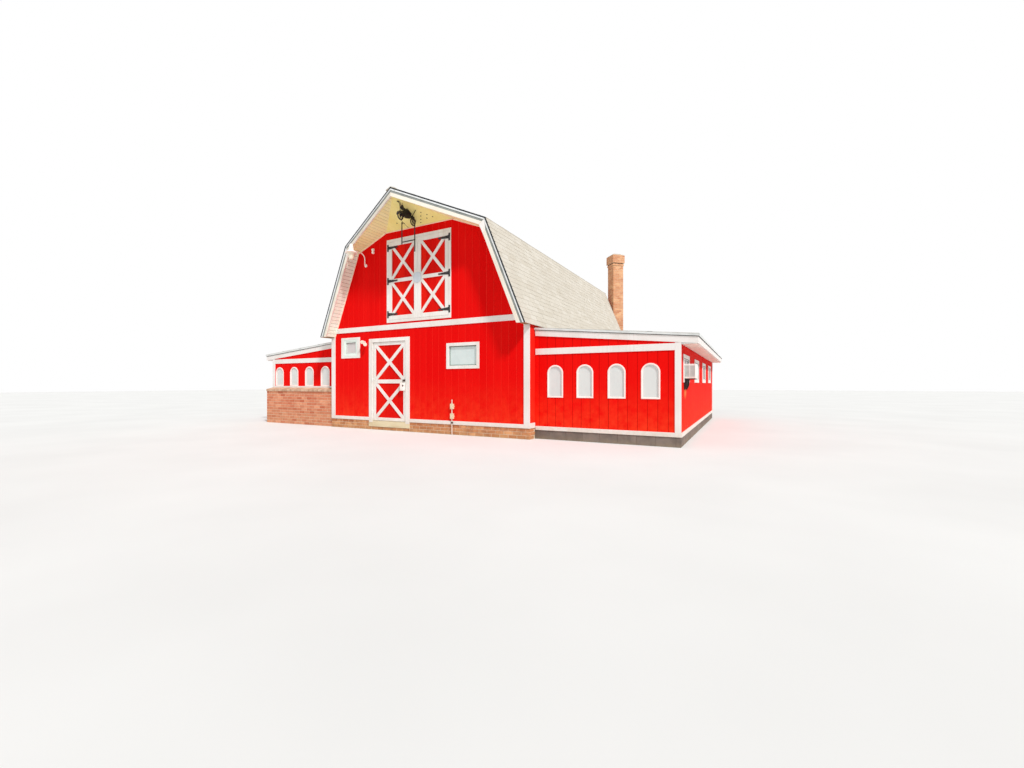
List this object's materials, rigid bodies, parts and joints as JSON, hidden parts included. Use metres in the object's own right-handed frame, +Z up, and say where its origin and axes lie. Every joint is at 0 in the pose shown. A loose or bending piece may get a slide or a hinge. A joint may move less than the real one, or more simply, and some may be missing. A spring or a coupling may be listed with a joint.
{
  "type": "gambrel barn with two lean-to wings",
  "caption": "Red gambrel barn with a hay hood, a loft door, a hinged front door and a lean-to wing on each side, hollow inside, at real size.",
  "frame": {"origin": "centre of the walls' footprint, at the lowest ground", "axes": "+X to the right along the front, +Y from the front to the rear, +Z up"},
  "size_m": [13.58, 11.0821, 6.755],
  "materials": {
    "brick": "brick with light mortar",
    "block": "concrete block",
    "deck_timber": "plain planks",
    "hood_plywood": "yellowish plywood",
    "red_siding": "red paint on grooved siding",
    "red_boards": "red paint on boards",
    "roof_shingle": "cream shingles",
    "wing_roofing": "pale roofing",
    "white_trim": "white paint",
    "window_rim": "white",
    "white_metal": "white paint",
    "grey_pane": "pale grey",
    "window_glass": "clear",
    "black_iron": "black paint",
    "beige_box": "beige"
  },
  "bodies": {
    "barn": {"main_foundation": "brick", "wing_foundations": "block", "main_floor": "deck_timber", "wing_floors": "block", "loft_floor": "deck_timber", "front_wall_left": "red_siding", "front_wall_right": "red_siding", "front_wall_over_door": "red_siding", "front_gable": "red_siding", "rear_wall": "red_siding", "rear_gable": "red_siding", "main_side_walls": "red_siding", "right_wing_front_wall": "red_siding", "left_wing_front_wall": "red_siding", "wing_side_walls": "red_siding", "wing_rear_walls": "red_siding", "brick_wainscot": "brick", "wainscot_sill": "brick", "roof_right_upper": "roof_shingle", "roof_left_upper": "roof_shingle", "roof_right_lower": "roof_shingle", "roof_left_lower": "roof_shingle", "wing_roofs": "wing_roofing", "fascia_boards": "white_trim", "hood_panel": "hood_plywood", "corner_boards": "white_trim", "belt_boards": "white_trim", "base_boards": "white_trim", "door_casing": "white_trim", "door_sill": "deck_timber", "door_hinges": "white_metal", "loft_casing": "white_trim", "loft_door_boards": "red_boards", "loft_door_rails": "white_trim", "strap_hinges": "black_iron", "window_frames": "white_trim", "window_glass": "window_glass", "arched_frames": "window_rim", "arched_panes": "grey_pane", "air_conditioner": "white_metal", "wall_lights": "white_metal", "conduit_boxes": "beige_box", "hood_ornament": "black_iron", "chimney": "brick"},
    "front_door": {"door_boards": "red_boards", "door_rails": "white_trim", "leaf_hinges": "white_metal", "lock_box": "white_metal"}
  },
  "joints": [
    {"name": "front_door_hinge", "type": "hinge", "parent": "barn", "child": "front_door", "pos_m": [-1.6, -4.532, 1.337], "axis": [0, 0, -1], "range_deg": [0, 100]}
  ]
}
